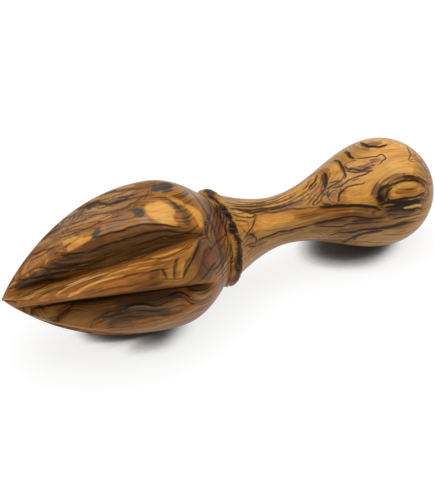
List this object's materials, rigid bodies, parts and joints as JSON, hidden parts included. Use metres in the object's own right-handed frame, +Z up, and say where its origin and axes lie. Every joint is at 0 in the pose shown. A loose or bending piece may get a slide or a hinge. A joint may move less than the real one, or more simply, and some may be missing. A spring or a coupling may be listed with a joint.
{
  "type": "citrus reamer",
  "caption": "Hand reamer turned from one piece of wood, with a pointed fluted head, a raised bead, a waisted neck and a rounded knob.",
  "frame": {"origin": "on the table, under the middle of the reamer as it lies on its head and its knob", "axes": "+X along the reamer from its tip to its knob, +Z up from the table"},
  "size_m": [0.1568, 0.0484, 0.0483],
  "materials": {
    "olive_wood": "oiled, satin to gloss, strong dark figure",
    "olive_wood_bead": "oiled, rough end grain"
  },
  "bodies": {
    "root": {"reamer_head": "olive_wood", "collar_bead": "olive_wood_bead", "handle": "olive_wood"}
  },
  "joints": []
}
